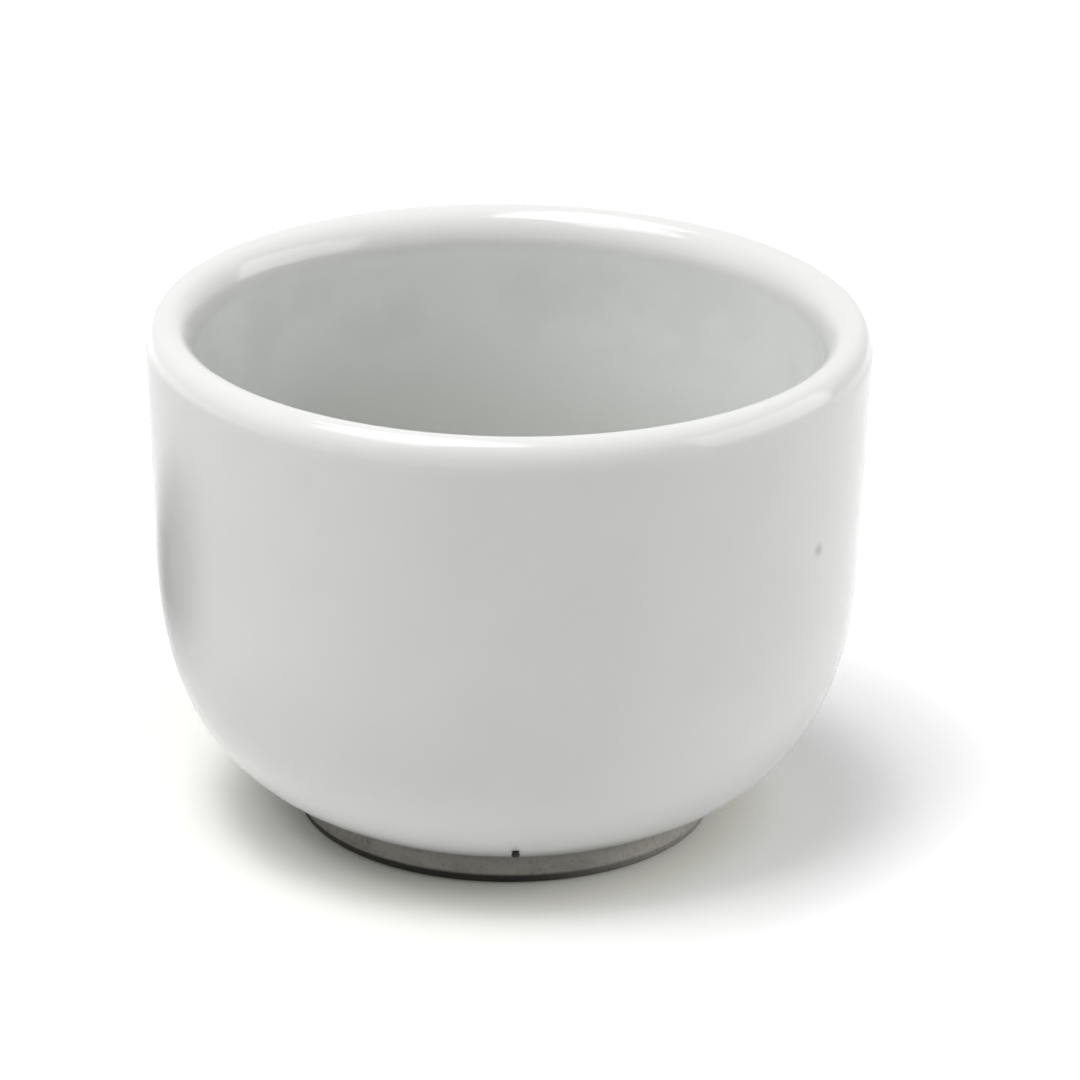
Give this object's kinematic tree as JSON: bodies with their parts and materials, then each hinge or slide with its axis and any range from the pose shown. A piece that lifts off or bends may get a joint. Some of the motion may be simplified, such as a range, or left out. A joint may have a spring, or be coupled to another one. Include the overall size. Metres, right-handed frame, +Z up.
{
  "type": "ramekin",
  "caption": "Round white glazed porcelain ramekin with near-straight walls, a curved belly and a low bare foot ring, for baking and serving a small portion.",
  "frame": {"origin": "centre of the foot ring's standing face, on the surface that the ramekin stands on", "axes": "+Z up along the axis that the ramekin is turned about, X and Y in the standing plane, -Y towards the picture's camera"},
  "size_m": [0.076, 0.076, 0.0552],
  "materials": {
    "bare_porcelain": "matte, fine-grained fired clay, greyed by use",
    "white_glaze": "gloss white glaze",
    "liner_glaze": "gloss white glaze with a faint green-grey cast"
  },
  "bodies": {
    "root": {"porcelain_body": "bare_porcelain", "outer_glaze": "white_glaze", "liner_glaze": "liner_glaze", "foot_well_glaze": "white_glaze"}
  },
  "joints": []
}
